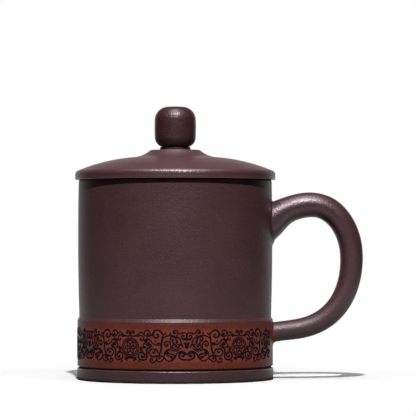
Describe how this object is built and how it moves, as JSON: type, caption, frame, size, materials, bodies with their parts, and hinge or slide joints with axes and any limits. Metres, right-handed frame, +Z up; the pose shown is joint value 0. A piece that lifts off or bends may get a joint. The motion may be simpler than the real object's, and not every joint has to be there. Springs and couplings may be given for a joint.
{
  "type": "clay tea mug",
  "caption": "Straight-sided unglazed clay tea mug with a looped coil handle, a red clay band with dark slip medallions, and a lift-off domed lid with a barrel knob.",
  "frame": {"origin": "on the cup's axis, in the plane of the foot ring that the mug stands on", "axes": "+Z up along the cup's axis; +X towards the handle; -Y is the side seen in the picture"},
  "size_m": [0.1267, 0.0882, 0.1198],
  "materials": {
    "dark_clay": "satin",
    "red_clay": "satin",
    "dark_slip": "matte"
  },
  "bodies": {
    "cup": {"cup_wall": "dark_clay", "base_disc": "dark_clay", "floor_seam_coil": "dark_clay", "foot_ring": "dark_clay", "red_band": "red_clay", "medallion_rings": "dark_slip", "band_line": "dark_clay", "handle": "dark_clay"},
    "lid": {"lid_plate": "dark_clay", "lid_flange": "dark_clay", "knob_neck": "dark_clay", "knob": "dark_clay"}
  },
  "joints": [
    {"name": "lid_lift", "type": "slide", "parent": "cup", "child": "lid", "axis": [0, 0, 1], "range_m": [0, 0.09]}
  ]
}
